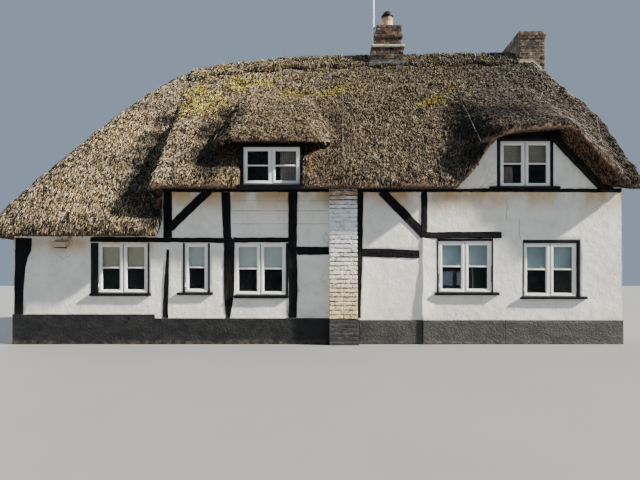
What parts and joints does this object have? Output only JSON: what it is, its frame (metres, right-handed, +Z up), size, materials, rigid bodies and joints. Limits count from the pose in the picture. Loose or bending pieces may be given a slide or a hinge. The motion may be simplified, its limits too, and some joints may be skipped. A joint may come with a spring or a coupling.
{
  "type": "thatched cottage",
  "caption": "Small timber-framed, lime-rendered cottage with a thick thatched roof, a low hipped bay, eyebrow windows and two brick chimneys.",
  "frame": {"origin": "on the flat underside of the ground floor, below the ridge and near the middle of the plan", "axes": "+X to the viewer's right along the front, +Y from the front to the back, +Z up; the front faces -Y"},
  "size_m": [11.41, 6, 7.64],
  "materials": {
    "render": "matte",
    "plinth": "matte",
    "timber": "satin",
    "thatch": "matte",
    "brick": "matte",
    "white_brick": "matte",
    "frame": "satin",
    "glass": "gloss",
    "floor": "matte",
    "boards": "satin",
    "clay": "matte",
    "cowl": "matte",
    "lamp": "satin",
    "steel": "satin"
  },
  "bodies": {
    "root": {"aerial_mast": "steel", "beam_window": "timber", "brace_left": "timber", "brace_right": "timber", "brick_pier": "white_brick", "chimney_pot": "clay", "corner_post": "timber", "curved_stud": "timber", "door": "boards", "door_frame": "frame", "front_wall": "render", "gable_stack": "brick", "glass_front": "glass", "glass_rear": "glass", "ground_floor": "floor", "left_wall": "render", "plinth_left": "plinth", "plinth_right": "plinth", "post_left": "timber", "post_middle": "timber", "post_right": "timber", "post_short": "timber", "post_window_left": "timber", "pot_cowl": "cowl", "rail_bay": "timber", "rail_middle": "timber", "rail_right": "timber", "rail_window": "timber", "rear_wall": "render", "ridge_cap": "thatch", "ridge_stack": "brick", "right_wall": "render", "thatch_bay": "thatch", "thatch_front": "thatch", "thatch_rear": "thatch", "upper_floor": "boards", "wall_lamp": "lamp", "wall_plate": "timber", "window_a": "frame", "window_b": "frame", "window_c": "frame", "window_d": "frame", "window_d_glass": "glass", "window_e": "frame", "window_f": "frame", "window_g": "frame", "window_g_glass": "glass", "window_hood": "thatch", "window_rear_left": "frame", "window_rear_middle": "frame", "window_rear_right": "frame", "window_rear_upper": "frame", "window_rear_upper_glass": "glass"}
  },
  "joints": []
}
